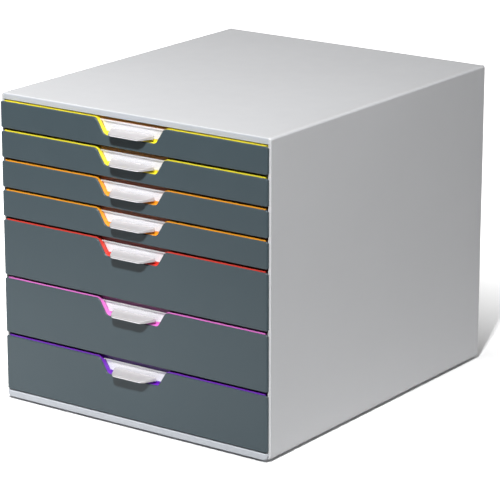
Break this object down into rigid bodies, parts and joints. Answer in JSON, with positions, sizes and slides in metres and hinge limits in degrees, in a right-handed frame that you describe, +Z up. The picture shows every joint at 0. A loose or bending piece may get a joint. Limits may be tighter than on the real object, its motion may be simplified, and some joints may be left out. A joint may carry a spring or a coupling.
{
  "type": "desktop drawer unit",
  "caption": "Desktop drawer unit: light case on foot pads with sliding coloured trays behind notched charcoal fronts, each with a clear label window and pull lip.",
  "frame": {"origin": "on the ground under the middle of the unit's outer box", "axes": "X to the right seen from the front, Y from the fronts to the back, Z up"},
  "size_m": [0.292, 0.356, 0.286],
  "materials": {
    "case_plastic": "smooth satin polystyrene",
    "charcoal_plastic": "fine satin polystyrene",
    "tray_yellow": "satin polystyrene",
    "tray_orange": "satin polystyrene",
    "tray_red": "satin polystyrene",
    "tray_pink": "satin polystyrene",
    "tray_purple": "satin polystyrene",
    "clear_plastic": "clear glossy polystyrene",
    "label_paper": "uncoated paper card",
    "foot_rubber": "soft dark rubber"
  },
  "bodies": {
    "case": {"base_panel": "case_plastic", "left_side_panel": "case_plastic", "right_side_panel": "case_plastic", "top_panel": "case_plastic", "back_panel": "case_plastic", "foot_front_left": "foot_rubber", "foot_front_right": "foot_rubber", "foot_back_left": "foot_rubber", "foot_back_right": "foot_rubber"},
    "drawer_1": {"drawer_1_tray": "tray_yellow", "drawer_1_front": "charcoal_plastic", "drawer_1_pull": "clear_plastic", "drawer_1_label": "label_paper"},
    "drawer_2": {"drawer_2_tray": "tray_yellow", "drawer_2_front": "charcoal_plastic", "drawer_2_pull": "clear_plastic", "drawer_2_label": "label_paper"},
    "drawer_3": {"drawer_3_tray": "tray_orange", "drawer_3_front": "charcoal_plastic", "drawer_3_pull": "clear_plastic", "drawer_3_label": "label_paper"},
    "drawer_4": {"drawer_4_tray": "tray_orange", "drawer_4_front": "charcoal_plastic", "drawer_4_pull": "clear_plastic", "drawer_4_label": "label_paper"},
    "drawer_5": {"drawer_5_tray": "tray_red", "drawer_5_front": "charcoal_plastic", "drawer_5_pull": "clear_plastic", "drawer_5_label": "label_paper"},
    "drawer_6": {"drawer_6_tray": "tray_pink", "drawer_6_front": "charcoal_plastic", "drawer_6_pull": "clear_plastic", "drawer_6_label": "label_paper"},
    "drawer_7": {"drawer_7_tray": "tray_purple", "drawer_7_front": "charcoal_plastic", "drawer_7_pull": "clear_plastic", "drawer_7_label": "label_paper"}
  },
  "joints": [
    {"name": "drawer_1_slide", "type": "slide", "parent": "case", "child": "drawer_1", "axis": [0, -1, 0], "range_m": [0, 0.24]},
    {"name": "drawer_2_slide", "type": "slide", "parent": "case", "child": "drawer_2", "axis": [0, -1, 0], "range_m": [0, 0.24]},
    {"name": "drawer_3_slide", "type": "slide", "parent": "case", "child": "drawer_3", "axis": [0, -1, 0], "range_m": [0, 0.24]},
    {"name": "drawer_4_slide", "type": "slide", "parent": "case", "child": "drawer_4", "axis": [0, -1, 0], "range_m": [0, 0.24]},
    {"name": "drawer_5_slide", "type": "slide", "parent": "case", "child": "drawer_5", "axis": [0, -1, 0], "range_m": [0, 0.24]},
    {"name": "drawer_6_slide", "type": "slide", "parent": "case", "child": "drawer_6", "axis": [0, -1, 0], "range_m": [0, 0.24]},
    {"name": "drawer_7_slide", "type": "slide", "parent": "case", "child": "drawer_7", "axis": [0, -1, 0], "range_m": [0, 0.24]}
  ]
}
